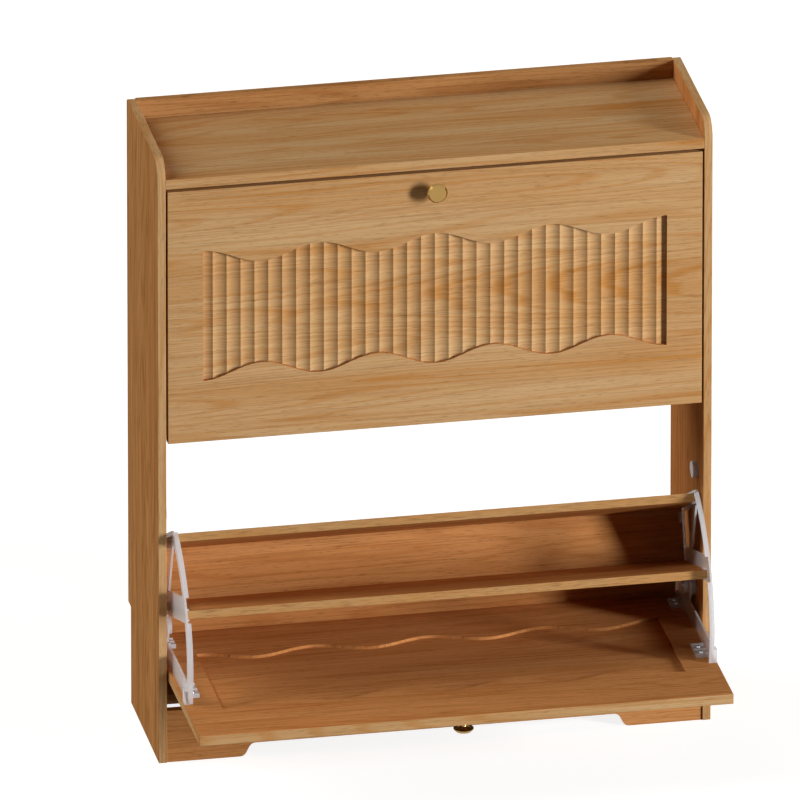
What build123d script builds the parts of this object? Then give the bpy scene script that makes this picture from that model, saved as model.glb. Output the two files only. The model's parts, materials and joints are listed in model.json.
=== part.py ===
from build123d import *
from math import atan2, ceil, cos, degrees, hypot, radians, sin, sqrt, tan
import os

# Shoe cabinet with two tilt-out drawers, in millimetres.
# X runs along the width, Y from the front to the back, Z up from the floor.
# While the pieces are built, Y is 0 at the front edges of the side panels.

# Carcass
cabinet_width = 800.0
cabinet_depth = 235.0
cabinet_height = 930.0
side_thickness = 12.0
side_front_radius = 28.0
side_rear_radius = 5.0
skirting_depth = 20.0
skirting_height = 150.0
top_thickness = 15.0
lip_height = 28.0
rail_thickness = 12.0
gallery_drop = 55.0
wall_hole_radius = 2.5
wall_hole_spacing = 600.0
wall_hole_inset = 20.0
base_rail_height = 80.0
base_rail_setback = 4.0
plinth_thickness = 12.0
plinth_height = 80.0
plinth_setback = 2.0
plinth_foot_length = 105.0
arch_height = 20.0
arch_curve_length = 24.0
edge_round = 0.8

# Doors, with a wavy window and a fluted panel set into it
door_thickness = 15.0
door_side_gap = 2.6
door_top_gap = 4.5
door_gap = 12.0
plinth_gap = 14.5
window_side_margin = 51.0
window_end_margin = 93.75
wave_height = 22.0
wave_count = 4
wave_pull = 0.3642
flute_pitch = 20.0
flute_depth = 2.4
flute_recess = 3.0
panel_thickness = 7.5
panel_fit = 0.3

# Knobs
knob_radius = 14.5
knob_face_radius = 12.0
knob_bevel = 3.0
knob_rim = 1.2
knob_reach = 19.0
knob_stem_radius = 4.5
knob_drop = 25.8
knob_stud_radius = 2.0
knob_stud_in_knob = 9.0
knob_stud_in_door = 10.0
knob_stud_fit = 0.2

# Drawer, in a frame with its origin on the pivot axis and the door upright
open_angle = 89.0
pivot_inset = 62.0
pivot_rise = 91.8
board_thickness = 12.0
board_end_play = 0.2
pocket_corner_y = 32.1
pocket_corner_z = -12.6
divider_lean = 17.6
divider_reach = 168.0
divider_foot_gap = 0.3
rear_clearance = 2.0
rear_wall_lean = 27.2
rear_wall_height = 121.0
rear_wall_tail = 14.0
front_floor_overhang = 4.0

# Fan brackets
bracket_gap = 8.0
web_thickness = 3.0
fan_margin = 4.5
fan_ring_width = 12.0
fan_rim_width = 7.0
fan_rim_thickness = 3.0
base_arm_width = 28.0
divider_arm_rear = 20.0
divider_arm_front = 16.0
board_arm_margin = 5.0
spoke_width = 13.0
hub_radius = 24.0
hub_boss_radius = 13.0
hub_boss_depth = 6.0
clip_thickness = 2.5
clip_reach = 5.0
clip_length = 16.0
clip_fit = 0.1
clip_setback = 2.0
foot_pad_width = 18.0
foot_pad_length = 40.0
foot_pad_drop = 22.0
low_pad_length = 26.0
low_pad_rise = 42.0
foot_pad_thickness = 4.0
foot_rib_height = 2.0
foot_rib_width = 2.5
foot_lug_reach = 5.0
foot_lug_height = 14.0

# Pivots and stops on the side panels
seat_radius = 17.0
side_play = 0.5
pin_radius = 4.0
pin_fit = 0.05
pin_depth = 8.0
pin_end = 1.0
stop_radius = 12.5
stop_from_door = 32.0
stop_above_foot = 4.7
stop_round = 1.5
stop_peg_radius = 4.0
stop_peg_depth = 8.0
stop_gap = 0.4

# Screws, dowels, cam bolts and cam locks
screw_radius = 1.75
screw_head_radius = 3.6
screw_head = 2.2
screw_depth = 9.0
screw_fit = 0.2
screw_spacing = 20.0
dowel_radius = 3.0
dowel_in_side = 8.0
dowel_in_board = 20.0
cam_bolt_radius = 2.75
cam_bolt_in_side = 9.0
cam_radius = 6.0
cam_setback = 24.0
cam_slot_width = 1.6
cam_slot_depth = 1.2
fixing_fit = 0.25
top_cam_inset = 40.0
rail_cam_inset = 17.0
rail_dowel_inset = 42.0
foot_cam_height = 55.0
foot_dowel_height = 30.0

# Sizes that follow from the ones above
half_width = cabinet_width / 2
inner_half = half_width - side_thickness
top_surface = cabinet_height - lip_height
top_underside = top_surface - top_thickness
gallery_low = top_surface - gallery_drop
door_half = inner_half - door_side_gap
door_room = top_underside - plinth_height - door_top_gap - door_gap - plinth_gap
door_height = door_room / 2
upper_door_bottom = top_underside - door_top_gap - door_height
lower_door_bottom = upper_door_bottom - door_gap - door_height
upper_pivot_z = upper_door_bottom + pivot_rise
lower_pivot_z = lower_door_bottom + pivot_rise
window_width = 2 * (door_half - window_side_margin)
window_middle = door_height / 2 - pivot_rise
door_front = -pivot_inset
door_inner = door_front + door_thickness
door_low = -pivot_rise
door_high = door_low + door_height
knob_height = door_high - knob_drop
web_outer = inner_half - bracket_gap
web_inner = web_outer - web_thickness
board_half = web_inner - board_end_play
seat_height = bracket_gap - side_play
rail_front = cabinet_depth - rail_thickness
notch_back = cabinet_depth - skirting_depth
base_rail_back = notch_back - base_rail_setback
base_rail_front = base_rail_back - rail_thickness


def block(x_range, y_range, z_range):
    """A box between two limits on each axis."""
    spans = (x_range, y_range, z_range)
    size = [high - low for low, high in spans]
    middle = [(high + low) / 2 for low, high in spans]
    return Pos(*middle) * Box(*size)


def rounded_block(x_range, y_range, z_range):
    """A board with softly rounded edges."""
    board = block(x_range, y_range, z_range)
    return fillet(board.edges(), edge_round)


def rod(start, end, radius):
    """A round bar from one point to another."""
    way = Vector(*end) - Vector(*start)
    place = Plane(origin=start, z_dir=way)
    return place * Cylinder(radius, way.length, align=(Align.CENTER, Align.CENTER, Align.MIN))


def slab_across(outline, x_from, x_to):
    """A flat outline in Y and Z, thickened along X."""
    return extrude(Plane.YZ.offset(min(x_from, x_to)) * outline, abs(x_to - x_from))


def slab_back(outline, y_from, y_to):
    """A flat outline in X and Z, thickened along Y."""
    return extrude(Plane.XZ.offset(-y_to) * outline, y_to - y_from)


def polygon(points):
    return make_face(Polyline(*points, close=True))


def mirrored(solid):
    return mirror(solid, about=Plane.YZ)


def group(solids):
    return Compound(children=[solid for part in solids for solid in part.solids()])


# Side panels
def side_panel():
    """Left panel, blank: rounded upper corners and a notch for the skirting board."""
    corners = [
        (0, 0),
        (0, cabinet_height),
        (cabinet_depth, cabinet_height),
        (cabinet_depth, skirting_height),
        (notch_back, skirting_height),
        (notch_back, 0),
    ]
    outline = polygon(corners)
    front_top = outline.vertices().sort_by_distance((0, cabinet_height))[0]
    outline = fillet(front_top, side_front_radius)
    rear_top = outline.vertices().sort_by_distance((cabinet_depth, cabinet_height))[0:2]
    corner = [v for v in rear_top if abs(v.Y - cabinet_height) < 1e-6][0]
    outline = fillet(corner, side_rear_radius)
    panel = slab_across(outline, -half_width, -inner_half)
    return fillet(panel.edges(), edge_round)


# Joinery: each place is a point on the inner face of the left panel
def joinery_places():
    """Board, (y, z) of the joint, board thickness, and the way its cam looks out."""
    top_middle = top_surface - top_thickness / 2
    rail_middle = rail_front + rail_thickness / 2
    base_middle = base_rail_front + rail_thickness / 2
    plinth_middle = plinth_setback + plinth_thickness / 2
    cams = [
        ("top_panel", (top_cam_inset, top_middle), top_thickness, (0, 0, -1)),
        ("top_panel", (rail_front - top_cam_inset, top_middle), top_thickness, (0, 0, -1)),
        ("rear_gallery_rail", (rail_middle, gallery_low + rail_cam_inset), rail_thickness, (0, -1, 0)),
        ("rear_base_rail", (base_middle, foot_cam_height), rail_thickness, (0, 1, 0)),
        ("front_plinth", (plinth_middle, foot_cam_height), plinth_thickness, (0, 1, 0)),
    ]
    dowels = [
        ("top_panel", (rail_front / 2, top_middle)),
        ("rear_gallery_rail", (rail_middle, gallery_low + rail_dowel_inset)),
        ("rear_base_rail", (base_middle, foot_dowel_height)),
        ("front_plinth", (plinth_middle, foot_dowel_height)),
    ]
    return cams, dowels


def cam_fitting(place, thickness, look):
    """Bolt, lock and the hollows for them, at the left end of a board."""
    y, z = place
    reach = cam_bolt_radius + 0.5
    centre = Vector(-inner_half + cam_setback, y, z)
    way = Vector(*look)
    face = centre + way * (thickness / 2)
    bottom = centre - way * reach
    bolt_start = (-inner_half - cam_bolt_in_side, y, z)
    bolt = rod(bolt_start, centre, cam_bolt_radius)
    lock = rod(bottom, face, cam_radius)
    mouth = rod((-inner_half, y, z), (centre + Vector(fixing_fit, 0, 0)), cam_bolt_radius + fixing_fit)
    across = Vector(0, 1, 0) if abs(way.Z) > 0.5 else Vector(0, 0, 1)
    slot_half = Vector(cam_radius, 0, 0) + across * (cam_slot_width / 2) + way * cam_slot_depth
    low = face - slot_half
    high = face + slot_half
    slot = block((low.X, high.X), tuple(sorted((low.Y, high.Y))), tuple(sorted((low.Z, high.Z))))
    lock = lock - mouth - slot
    hollow = rod((bottom - way * fixing_fit), face, cam_radius + fixing_fit)
    side_hole = rod((bolt_start[0] - fixing_fit, y, z), (-inner_half, y, z), cam_bolt_radius + fixing_fit)
    return bolt, lock, hollow + mouth, side_hole


def dowel_fitting(place):
    """Dowel and its hollow at the left end of a board."""
    y, z = place
    start = (-inner_half - dowel_in_side, y, z)
    end = (-inner_half + dowel_in_board, y, z)
    dowel = rod(start, end, dowel_radius)
    hollow = rod((start[0] - fixing_fit, y, z), (end[0] + fixing_fit, y, z), dowel_radius + fixing_fit)
    return dowel, hollow


# Carcass boards, blank
def top_panel():
    return rounded_block((-inner_half, inner_half), (0, rail_front), (top_underside, top_surface))


def gallery_rail():
    """Rear rail that stands above the top, with two holes for wall screws below it."""
    heights = (gallery_low, cabinet_height)
    rail = rounded_block((-inner_half, inner_half), (rail_front, cabinet_depth), heights)
    hole_z = gallery_low + wall_hole_inset
    for x in (-wall_hole_spacing / 2, wall_hole_spacing / 2):
        rail -= rod((x, rail_front - 1, hole_z), (x, cabinet_depth + 1, hole_z), wall_hole_radius)
    return rail


def base_rail():
    return rounded_block((-inner_half, inner_half), (base_rail_front, base_rail_back), (0, base_rail_height))


def plinth():
    """Front plinth with a shallow arch that rises in an ogee behind each foot."""
    foot = inner_half - plinth_foot_length
    rise = foot - arch_curve_length
    level = (1, 0)
    outline = [
        Line((-inner_half, 0), (-foot, 0)),
        Spline((-foot, 0), (-rise, arch_height), tangents=(level, level)),
        Line((-rise, arch_height), (rise, arch_height)),
        Spline((rise, arch_height), (foot, 0), tangents=(level, level)),
        Line((foot, 0), (inner_half, 0)),
        Line((inner_half, 0), (inner_half, plinth_height)),
        Line((inner_half, plinth_height), (-inner_half, plinth_height)),
        Line((-inner_half, plinth_height), (-inner_half, 0)),
    ]
    return slab_back(make_face(outline), plinth_setback, plinth_setback + plinth_thickness)


# Doors
def window_outline(inset):
    """Window in X and Z about its middle: straight ends, and mirrored waves above and below."""
    half = window_width / 2 - inset
    high = door_height / 2 - window_end_margin - inset
    low = high - wave_height
    step = half / wave_count
    pull = wave_pull * step
    edges = [
        Line((-half, -high), (-half, high)),
        Line((half, -high), (half, high)),
    ]
    for i in range(2 * wave_count):
        left = -half + i * step
        right = left + step
        ends = (low, high) if i % 2 else (high, low)
        for side in (1, -1):
            start = side * ends[0]
            end = side * ends[1]
            edges.append(Bezier((left, start), (left + pull, start), (right - pull, end), (right, end)))
    return Pos(0, window_middle) * make_face(edges)


def door():
    panel = rounded_block((-door_half, door_half), (door_front, door_inner), (door_low, door_high))
    panel -= slab_back(window_outline(0), door_front - 1, door_inner + 1)
    hole_end = door_front + knob_stud_in_door + knob_stud_fit
    hole_radius = knob_stud_radius + knob_stud_fit
    panel -= rod((0, door_front - 1, knob_height), (0, hole_end, knob_height), hole_radius)
    return panel


def fluted_panel():
    """Hollow flutes side by side with sharp ridges between them, trimmed to the window's outline."""
    ridge = door_front + flute_recess
    hollow = ridge + flute_depth
    back = ridge + panel_thickness
    count = 2 * ceil(window_width / flute_pitch / 2)
    start = -count * flute_pitch / 2
    edges = []
    for i in range(count):
        left = start + i * flute_pitch
        deepest = (left + flute_pitch / 2, hollow)
        edges.append(ThreePointArc((left, ridge), deepest, (left + flute_pitch, ridge)))
    edges.append(Line((-start, ridge), (-start, back)))
    edges.append(Line((-start, back), (start, back)))
    edges.append(Line((start, back), (start, ridge)))
    strip = extrude(Plane.XY.offset(door_low) * make_face(edges), door_height)
    return strip & slab_back(window_outline(panel_fit), door_front - 1, door_inner + 1)


def knob():
    """Turned knob: a slim stem that flares to a rim, and a bevel from the rim to a flat face."""
    seat = door_front
    face = seat - knob_reach
    rim_front = face + knob_bevel
    rim_back = rim_front + knob_rim
    waist = (rim_back + seat) / 2
    flare = Spline(
        (knob_stem_radius, waist),
        (knob_radius, rim_back),
        tangents=((0, -1), (1, 0)),
    )
    profile = [
        Line((0, seat), (knob_stem_radius, seat)),
        Line((knob_stem_radius, seat), (knob_stem_radius, waist)),
        flare,
        Line((knob_radius, rim_back), (knob_radius, rim_front)),
        Line((knob_radius, rim_front), (knob_face_radius, face)),
        Line((knob_face_radius, face), (0, face)),
        Line((0, face), (0, seat)),
    ]
    body = revolve(make_face(profile), Axis.Y)
    thread_end = seat - knob_stud_in_knob - knob_stud_fit
    thread = rod((0, thread_end, 0), (0, seat, 0), knob_stud_radius + knob_stud_fit)
    return Pos(0, 0, knob_height) * (body - thread)


def knob_stud():
    """Threaded stud that holds the knob, hidden in the knob's stem and in the door."""
    start = (0, door_front - knob_stud_in_knob, knob_height)
    end = (0, door_front + knob_stud_in_door, knob_height)
    return rod(start, end, knob_stud_radius)


# Drawer boards, as flat outlines in Y and Z
class Board:
    """A board seen end on: one face starts at a corner and runs along a direction."""

    def __init__(self, corner, direction, normal, length, mitre=0.0):
        self.corner = Vector(*corner)
        self.direction = Vector(*direction)
        self.normal = Vector(*normal)
        self.length = length
        self.mitre = mitre

    def at(self, along, off):
        point = self.corner + self.direction * along + self.normal * off
        return (point.X, point.Y)

    def patch(self, along, off):
        return polygon(
            [
                self.at(along[0], off[0]),
                self.at(along[1], off[0]),
                self.at(along[1], off[1]),
                self.at(along[0], off[1]),
            ]
        )

    def solid(self):
        """The board itself, whose first face runs past the other by the mitre of its end."""
        corners = [
            self.at(0, 0),
            self.at(self.length + self.mitre, 0),
            self.at(self.length, board_thickness),
            self.at(0, board_thickness),
        ]
        return slab_across(polygon(corners), -board_half, board_half)


lean = radians(divider_lean)
wall_lean = radians(rear_wall_lean)
front_floor_top = door_low + board_thickness
divider_foot = front_floor_top + divider_foot_gap
divider_tail = (pocket_corner_z - divider_foot) / cos(lean)
divider_foot_y = pocket_corner_y - divider_tail * sin(lean)
wall_run = rear_wall_height * sin(wall_lean)
clip_run = (board_thickness + clip_fit + clip_thickness) * cos(wall_lean)
rear_reach = cabinet_depth - rear_clearance - pivot_inset
rear_floor_width = (rear_reach - pocket_corner_y - wall_run - clip_run) / cos(lean)
pocket_back_y = pocket_corner_y + rear_floor_width * cos(lean)
pocket_back_z = pocket_corner_z - rear_floor_width * sin(lean)
rear_floor_mitre = board_thickness * tan(wall_lean - lean)

divider = Board(
    (divider_foot_y, divider_foot),
    (sin(lean), cos(lean)),
    (-cos(lean), sin(lean)),
    divider_tail + divider_reach,
)
rear_floor = Board(
    (pocket_corner_y, pocket_corner_z),
    (cos(lean), -sin(lean)),
    (-sin(lean), -cos(lean)),
    rear_floor_width - rear_floor_mitre,
    rear_floor_mitre,
)
rear_wall = Board(
    (pocket_back_y - rear_wall_tail * sin(wall_lean), pocket_back_z - rear_wall_tail * cos(wall_lean)),
    (sin(wall_lean), cos(wall_lean)),
    (cos(wall_lean), -sin(wall_lean)),
    rear_wall_tail + rear_wall_height,
)
front_floor = Board(
    (door_inner, front_floor_top),
    (1, 0),
    (0, -1),
    divider_foot_y + front_floor_overhang - door_inner,
)

wall_tip = rear_wall.at(rear_wall.length, board_thickness)
wall_middle = rear_wall.at(rear_wall.length, board_thickness / 2)
fan_radius = hypot(*wall_tip) + fan_margin
fan_rear_angle = degrees(atan2(wall_middle[1], wall_middle[0]))
foot_end = sqrt(fan_radius**2 - door_inner**2)
fan_front_angle = degrees(atan2(foot_end, door_inner))
foot_pad = (foot_end - foot_pad_drop - foot_pad_length, foot_end - foot_pad_drop)
low_pad = (door_low + low_pad_rise, door_low + low_pad_rise + low_pad_length)
stop_y = door_inner + stop_from_door
stop_z = foot_end + stop_above_foot


# Fan brackets
def wedge(start_angle, end_angle):
    """A wide sector about the pivot."""
    far = 2 * fan_radius
    angles = [start_angle, (start_angle + end_angle) / 2, end_angle]
    points = [(far * cos(radians(a)), far * sin(radians(a))) for a in angles]
    return polygon([(0, 0)] + points)


def spoke(start, end, width):
    """A straight arm between two points."""
    run = Vector(*end) - Vector(*start)
    middle = (Vector(*start) + Vector(*end)) * 0.5
    turn = degrees(atan2(run.Y, run.X))
    return Pos(middle.X, middle.Y) * Rot(0, 0, turn) * Rectangle(run.length, width)


def fan_outline():
    """The bracket's flat web: ring, arms and hub plate."""
    ring = Circle(fan_radius) - Circle(fan_radius - fan_ring_width)
    base_arm = polygon(
        [
            (door_inner, door_low),
            (door_inner + base_arm_width, door_low),
            (door_inner + base_arm_width, foot_end),
            (door_inner, foot_end),
        ]
    )
    across = (-board_arm_margin, board_thickness + board_arm_margin)
    wall_end = rear_wall.length + board_arm_margin
    arms = [
        base_arm,
        divider.patch((0, divider.length + fan_ring_width), (-divider_arm_rear, divider_arm_front)),
        rear_floor.patch((0, rear_floor.length), across),
        rear_wall.patch((-board_arm_margin, wall_end), across),
        front_floor.patch((base_arm_width / 2, front_floor.length), across),
        spoke((0, 0), rear_wall.at(rear_wall.length - clip_length, 0), spoke_width),
        Circle(hub_radius),
    ]
    outline = ring & wedge(fan_rear_angle, fan_front_angle)
    for arm in arms:
        outline = outline + arm
    room = Pos((door_inner + rear_reach) / 2, 0) * Rectangle(rear_reach - door_inner, 3 * fan_radius)
    return outline & Circle(fan_radius) & room


def board_clips():
    """Each clip's jaw as (board, reach along it, reach off its face)."""
    near = (-clip_fit - clip_thickness, -clip_fit)
    far = (board_thickness + clip_fit, board_thickness + clip_fit + clip_thickness)
    divider_top = (divider.length - clip_length, divider.length)
    divider_foot_span = (clip_setback, clip_setback + clip_length)
    floor_end = rear_floor.length - clip_setback
    wall_top = (rear_wall.length - clip_length, rear_wall.length)
    front_middle = (base_arm_width, base_arm_width + clip_length)
    return [
        (divider, divider_top, far),
        (divider, divider_top, near),
        (divider, divider_foot_span, far),
        (divider, divider_foot_span, near),
        (rear_floor, (floor_end - clip_length, floor_end), far),
        (rear_floor, (floor_end - clip_length, floor_end), near),
        (rear_wall, wall_top, far),
        (rear_wall, wall_top, near),
        (front_floor, front_middle, far),
        (front_floor, front_middle, near),
    ]


def left_bracket():
    """Left fan bracket: web, rim, hub, board clips, foot pads and a stop lug."""
    outer = -web_outer
    inner = -web_inner
    body = slab_across(fan_outline(), outer, inner)
    body += slab_across(Circle(hub_boss_radius), outer, inner + hub_boss_depth)

    rim = Circle(fan_radius) - Circle(fan_radius - fan_rim_thickness)
    rim = rim & wedge(fan_rear_angle, fan_front_angle)
    rim = rim - divider.patch((0, divider.length + fan_radius), (-divider_arm_rear, divider_arm_front))
    for piece in rim.faces():
        body += slab_across(piece, outer, outer + fan_rim_width)

    for board, along, off in board_clips():
        body += slab_across(board.patch(along, off), outer, inner + clip_reach)

    pad_x = (outer, inner + foot_pad_width)
    pad_face = door_inner + foot_pad_thickness
    for bottom, top in (foot_pad, low_pad):
        body += block(pad_x, (door_inner, pad_face), (bottom, top))
        for rib_low in (bottom, (bottom + top - foot_rib_width) / 2, top - foot_rib_width):
            rib_z = (rib_low, rib_low + foot_rib_width)
            body += block(pad_x, (pad_face, pad_face + foot_rib_height), rib_z)

    lug_back = stop_y - sqrt((stop_radius + stop_gap) ** 2 - stop_above_foot**2)
    lug_z = (foot_end - foot_lug_height, foot_end)
    lug = block((outer - foot_lug_reach, outer), (door_inner, lug_back), lug_z)
    body += lug & slab_across(Circle(fan_radius), outer - foot_lug_reach, outer)

    for x, z in foot_screw_places():
        body -= rod((x, door_inner - 1, z), (x, pad_face + 1, z), screw_radius + screw_fit)
    body -= rod((outer - 1, 0, 0), (inner + hub_boss_depth + 1, 0, 0), pin_radius + pin_fit)
    return body


def foot_screw_places():
    """Two screws in each foot pad of the left bracket, as (x, z)."""
    middle = -web_inner + foot_pad_width / 2
    places = []
    for bottom, top in (foot_pad, low_pad):
        quarter = (top - bottom) / 4
        places += [(middle, bottom + quarter), (middle, top - quarter)]
    return places


def foot_screws(place):
    """Bracket screws of a drawer, each made where that drawer rests."""
    seat = door_inner + foot_pad_thickness
    screws = []
    for x, z in foot_screw_places():
        for side in (x, -x):
            shank = rod((side, door_inner - screw_depth, z), (side, seat, z), screw_radius)
            head = rod((side, seat, z), (side, seat + screw_head, z), screw_head_radius)
            screws.append(place * shank + place * head)
    return group(screws)


def screw_holes_in_door():
    holes = []
    for x, z in foot_screw_places():
        for side in (x, -x):
            start = (side, door_inner - screw_depth - screw_fit, z)
            holes.append(rod(start, (side, door_inner + 1, z), screw_radius + screw_fit))
    return holes


# Pivot seats, pins and stop buttons of the left side, about the pivot axis
def pivot_seat():
    """Round seat with a hole for the pin and two sunk screw holes."""
    face = -inner_half + seat_height
    seat = rod((-inner_half, 0, 0), (face, 0, 0), seat_radius)
    seat = fillet(seat.edges().group_by(Axis.X)[-1], edge_round)
    seat -= rod((-inner_half - 1, 0, 0), (face + 1, 0, 0), pin_radius + screw_fit)
    for shift in (-screw_spacing / 2, screw_spacing / 2):
        sink = (face - screw_head - screw_fit, shift, 0)
        seat -= rod((-inner_half - 1, shift, 0), sink, screw_radius + screw_fit)
        seat -= rod(sink, (face + 1, shift, 0), screw_head_radius + screw_fit)
    return seat


def pivot_pin():
    start = -inner_half - pin_depth
    end = -web_inner + hub_boss_depth + pin_end
    return rod((start, 0, 0), (end, 0, 0), pin_radius)


def seat_screws():
    face = -inner_half + seat_height - screw_head
    screws = []
    for shift in (-screw_spacing / 2, screw_spacing / 2):
        shank = rod((-inner_half - screw_depth, shift, 0), (face, shift, 0), screw_radius)
        head = rod((face, shift, 0), (face + screw_head, shift, 0), screw_head_radius)
        screws.append(shank + head)
    return screws


def stop_button():
    """Round stop that the bracket's lug meets when the drawer is shut."""
    face = -inner_half + seat_height
    button = rod((-inner_half, stop_y, stop_z), (face, stop_y, stop_z), stop_radius)
    button = fillet(button.edges().group_by(Axis.X)[-1], stop_round)
    peg_start = (-inner_half - stop_peg_depth, stop_y, stop_z)
    return button + rod(peg_start, (-inner_half, stop_y, stop_z), stop_peg_radius)


def side_bores():
    """Hollows in the left panel for the pin, the seat screws and the stop button's peg."""
    holes = [rod((-inner_half - pin_depth, 0, 0), (-inner_half + 1, 0, 0), pin_radius + screw_fit)]
    for shift in (-screw_spacing / 2, screw_spacing / 2):
        start = (-inner_half - screw_depth - screw_fit, shift, 0)
        holes.append(rod(start, (-inner_half + 1, shift, 0), screw_radius + screw_fit))
    peg_start = (-inner_half - stop_peg_depth - screw_fit, stop_y, stop_z)
    holes.append(rod(peg_start, (-inner_half + 1, stop_y, stop_z), stop_peg_radius + screw_fit))
    return holes


# Assembly
nodes = {}
shut_upper = Pos(0, pivot_inset, upper_pivot_z)
shut_lower = Pos(0, pivot_inset, lower_pivot_z)
rest = {"upper": shut_upper, "lower": shut_lower * Rot(open_angle, 0, 0)}

left_side = side_panel()
boards = {
    "top_panel": top_panel(),
    "rear_gallery_rail": gallery_rail(),
    "rear_base_rail": base_rail(),
    "front_plinth": plinth(),
}
bolts = []
locks = []
dowels = []
cam_places, dowel_places = joinery_places()
for name, place, thickness, look in cam_places:
    bolt, lock, hollow, side_hole = cam_fitting(place, thickness, look)
    boards[name] = boards[name] - hollow - mirrored(hollow)
    left_side -= side_hole
    bolts += [bolt, mirrored(bolt)]
    locks += [lock, mirrored(lock)]
for name, place in dowel_places:
    dowel, hollow = dowel_fitting(place)
    boards[name] = boards[name] - hollow - mirrored(hollow)
    left_side -= hollow
    dowels += [dowel, mirrored(dowel)]
for shut in (shut_upper, shut_lower):
    for hole in side_bores():
        left_side -= shut * hole

nodes["left_side_panel"] = left_side
nodes["right_side_panel"] = mirrored(left_side)
nodes.update(boards)
nodes["cam_bolts"] = group(bolts)
nodes["cam_locks"] = group(locks)
nodes["dowels"] = group(dowels)

seat_screw_set = []
for level, shut in (("upper", shut_upper), ("lower", shut_lower)):
    fittings = {"pivot_seat": pivot_seat(), "pivot_pin": pivot_pin(), "stop_button": stop_button()}
    for name, fitting in fittings.items():
        nodes[f"{level}_left_{name}"] = shut * fitting
        nodes[f"{level}_right_{name}"] = shut * mirrored(fitting)
    for screw in seat_screws():
        seat_screw_set += [shut * screw, shut * mirrored(screw)]
nodes["seat_screws"] = group(seat_screw_set)

drilled_door = door()
for hole in screw_holes_in_door():
    drilled_door -= hole
bracket = left_bracket()
drawer = {
    "door": drilled_door,
    "fluted_panel": fluted_panel(),
    "knob": knob(),
    "knob_stud": knob_stud(),
    "divider": divider.solid(),
    "rear_floor": rear_floor.solid(),
    "rear_wall": rear_wall.solid(),
    "front_floor": front_floor.solid(),
    "left_bracket": bracket,
    "right_bracket": mirrored(bracket),
}
for level, place in rest.items():
    for name, piece in drawer.items():
        nodes[f"{level}_{name}"] = place * piece

# The origin lies on the floor, midway between the open door's tip and the back
turn = radians(open_angle)
tip_y = pivot_inset + door_front * cos(turn) - door_high * sin(turn)
to_origin = Pos(0, -(tip_y + cabinet_depth) / 2, 0)
nodes = {name: to_origin * piece for name, piece in nodes.items()}
for level, place in rest.items():
    nodes[f"{level}_bracket_screws"] = foot_screws(to_origin * place)

os.makedirs("parts", exist_ok=True)
for name, piece in nodes.items():
    export_step(piece, f"parts/{name}.step")
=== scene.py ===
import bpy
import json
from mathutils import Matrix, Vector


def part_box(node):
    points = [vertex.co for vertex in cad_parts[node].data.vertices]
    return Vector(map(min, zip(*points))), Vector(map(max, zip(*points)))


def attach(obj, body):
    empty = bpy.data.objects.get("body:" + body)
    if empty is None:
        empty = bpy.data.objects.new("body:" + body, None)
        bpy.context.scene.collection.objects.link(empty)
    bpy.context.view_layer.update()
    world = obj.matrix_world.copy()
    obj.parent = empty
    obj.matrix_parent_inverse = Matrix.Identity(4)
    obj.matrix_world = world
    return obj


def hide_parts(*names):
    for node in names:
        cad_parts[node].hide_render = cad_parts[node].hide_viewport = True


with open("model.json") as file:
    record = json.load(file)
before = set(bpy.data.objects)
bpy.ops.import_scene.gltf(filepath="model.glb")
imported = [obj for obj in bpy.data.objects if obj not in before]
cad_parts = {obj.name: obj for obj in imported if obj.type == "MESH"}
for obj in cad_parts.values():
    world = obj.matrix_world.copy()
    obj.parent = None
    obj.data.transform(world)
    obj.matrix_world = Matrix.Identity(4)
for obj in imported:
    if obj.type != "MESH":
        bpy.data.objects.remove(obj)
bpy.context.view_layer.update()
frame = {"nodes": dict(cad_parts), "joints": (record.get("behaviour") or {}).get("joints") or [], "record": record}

import json
from math import cos, pi, radians, sin

import bmesh
import bpy
from mathutils import Matrix, Vector

bl_info = {
    "name": "Shoe cabinet",
    "version": (1, 0, 0),
    "blender": (4, 5, 0),
    "location": "View3D > Sidebar > Shoe cabinet",
    "description": "Dresses a tilt-out shoe cabinet in oak foil, clear plastic and brass",
    "category": "Object",
}

LEVELS = ("upper", "lower")
SIDES = ("left", "right")
# How the doors rest, and the foil that suits the edges of a door at rest that way
REST = {"upper": "standing", "lower": "lying"}
ACROSS = {"standing": "lying", "lying": "standing"}
JOINTS = {joint["child"]: joint for joint in frame["joints"]}
OPEN_ANGLE = radians(-JOINTS["lower_drawer"]["range_deg"][0])
MILLIMETRE = 0.001
FRONT = Vector((0, -1, 0))
UP = Vector((0, 0, 1))

# Edges sharper than the crease stay sharp, and faces broader than the limit are shaded flat
CREASE = radians(32)
BROAD_FACE = 500 * MILLIMETRE ** 2
JOIN_DISTANCE = 0.001 * MILLIMETRE
# A face looks in a direction when the cosine between the two is above this
FACING = 0.7

# Oak patterns in millimetres: length along the grain, width across it
FIBRE_LENGTH, FIBRE_WIDTH = 150, 1.8
FIGURE_LENGTH, FIGURE_WIDTH = 1900, 110
BAND_LENGTH, BAND_WIDTH = 600, 34
PORE_LENGTH, PORE_WIDTH = 16, 1.3
FLECK_LENGTH, FLECK_WIDTH = 22, 1.2
EDGE_TONE_LENGTH, EDGE_TONE_WIDTH = 90, 9
RINGS = 34
RING_SHAKE = 3.0
# Side panels are seen at a slant, so their fibres and pores are drawn this much coarser to show
SIDE_COARSENESS = 2.5
# How far a mottled surface's roughness strays to both sides
ROUGHNESS_DRIFT = 0.2

# Parts of a screw's head, as shares of its radius
CROWN_SHARE = 0.72
RECESS_LENGTH_SHARE = 1.1
RECESS_WIDTH_SHARE = 0.25

# Stage: lengths in metres, and levels of light
FLOOR_REACH = 9.0
FLOOR_GLOW = 0.84
FLOOR_GREY = 0.4
AMBIENT_LEVEL = 0.04
LAMP_DISTANCE = 12.0
LAMP_TARGET = Vector((0, 0, 0.45))


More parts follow.
